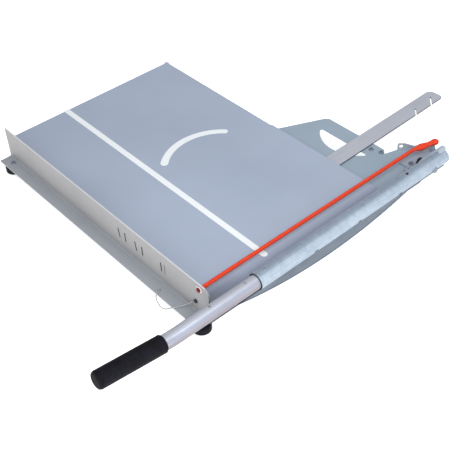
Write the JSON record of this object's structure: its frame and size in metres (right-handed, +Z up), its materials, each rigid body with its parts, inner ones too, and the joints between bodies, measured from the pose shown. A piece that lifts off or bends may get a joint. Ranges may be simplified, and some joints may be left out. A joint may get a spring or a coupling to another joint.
{
  "type": "tile cutter",
  "caption": "Lever guillotine for roofing tiles and slates: sheet-steel table with a front fence, curved blade on a long hinged arm, elastic marking cord and sliding stop bar.",
  "frame": {"origin": "middle of the outer box, on the floor that the feet stand on", "axes": "+X along the fence towards the arm, +Y away from the user towards the arm's pivot, +Z up"},
  "size_m": [0.7224, 1.0424, 0.1142],
  "materials": {
    "table_paint": "satin blue-grey paint",
    "fence_paint": "satin neutral grey paint",
    "galvanised": "bright zinc plate",
    "polished_tube": "polished",
    "blade_steel": "ground steel",
    "dark_steel": "blackened",
    "zinc_steel": "zinc plated",
    "black_rubber": "matt",
    "orange_cord": "braided",
    "wire_rope": "twisted strands"
  },
  "bodies": {
    "base": {"arm_stop": "black_rubber", "bar_guide_left": "galvanised", "bar_guide_right": "galvanised", "brace_bolt_1": "dark_steel", "brace_bolt_2": "dark_steel", "bracket_bolt_1": "dark_steel", "bracket_bolt_2": "dark_steel", "centre_rail": "galvanised", "cord_grommet": "zinc_steel", "cord_knot": "orange_cord", "cord_loop": "orange_cord", "cord_post": "zinc_steel", "counter_blade": "blade_steel", "counter_screw_1": "dark_steel", "counter_screw_2": "dark_steel", "counter_screw_3": "dark_steel", "counter_screw_4": "dark_steel", "edge_packer": "galvanised", "elastic_cord": "orange_cord", "eye_tab": "galvanised", "fence": "fence_paint", "foot_front_left": "black_rubber", "foot_front_right": "black_rubber", "foot_rear_left": "black_rubber", "foot_rear_right": "black_rubber", "foot_screw_front_left": "dark_steel", "foot_screw_front_right": "dark_steel", "foot_screw_rear_left": "dark_steel", "foot_screw_rear_right": "dark_steel", "handle_brace": "galvanised", "lanyard": "wire_rope", "lanyard_anchor": "zinc_steel", "pivot_bolt": "dark_steel", "pivot_bracket": "table_paint", "pivot_nut": "zinc_steel", "rail_packer": "galvanised", "rear_plate": "table_paint", "rear_rail": "galvanised", "side_beam": "galvanised", "table_top": "table_paint"},
    "arm": {"arm_sleeve": "galvanised", "handle_tube": "polished_tube", "core_bar": "blade_steel", "pivot_boss": "blade_steel", "blade": "blade_steel", "grip": "black_rubber", "tube_screw_1": "zinc_steel", "tube_screw_2": "zinc_steel", "sleeve_screw_front": "zinc_steel", "sleeve_screw_rear": "zinc_steel", "blade_rivet_1": "zinc_steel", "blade_rivet_2": "zinc_steel", "blade_rivet_3": "zinc_steel"},
    "stop_bar": {"stop_bar": "galvanised"},
    "lock_pin": {"lock_pin": "dark_steel"}
  },
  "joints": [
    {"name": "arm_hinge", "type": "hinge", "parent": "base", "child": "arm", "pos_m": [0.3358, 0.28407, 0.081], "axis": [-1, 0, 0], "range_deg": [0, 65]},
    {"name": "stop_slide", "type": "slide", "parent": "base", "child": "stop_bar", "axis": [-0.0297, 0.9996, 0], "range_m": [-0.28, 0.008]},
    {"name": "pin_pull", "type": "slide", "parent": "base", "child": "lock_pin", "axis": [0, -1, 0], "range_m": [0, 0.028]}
  ]
}
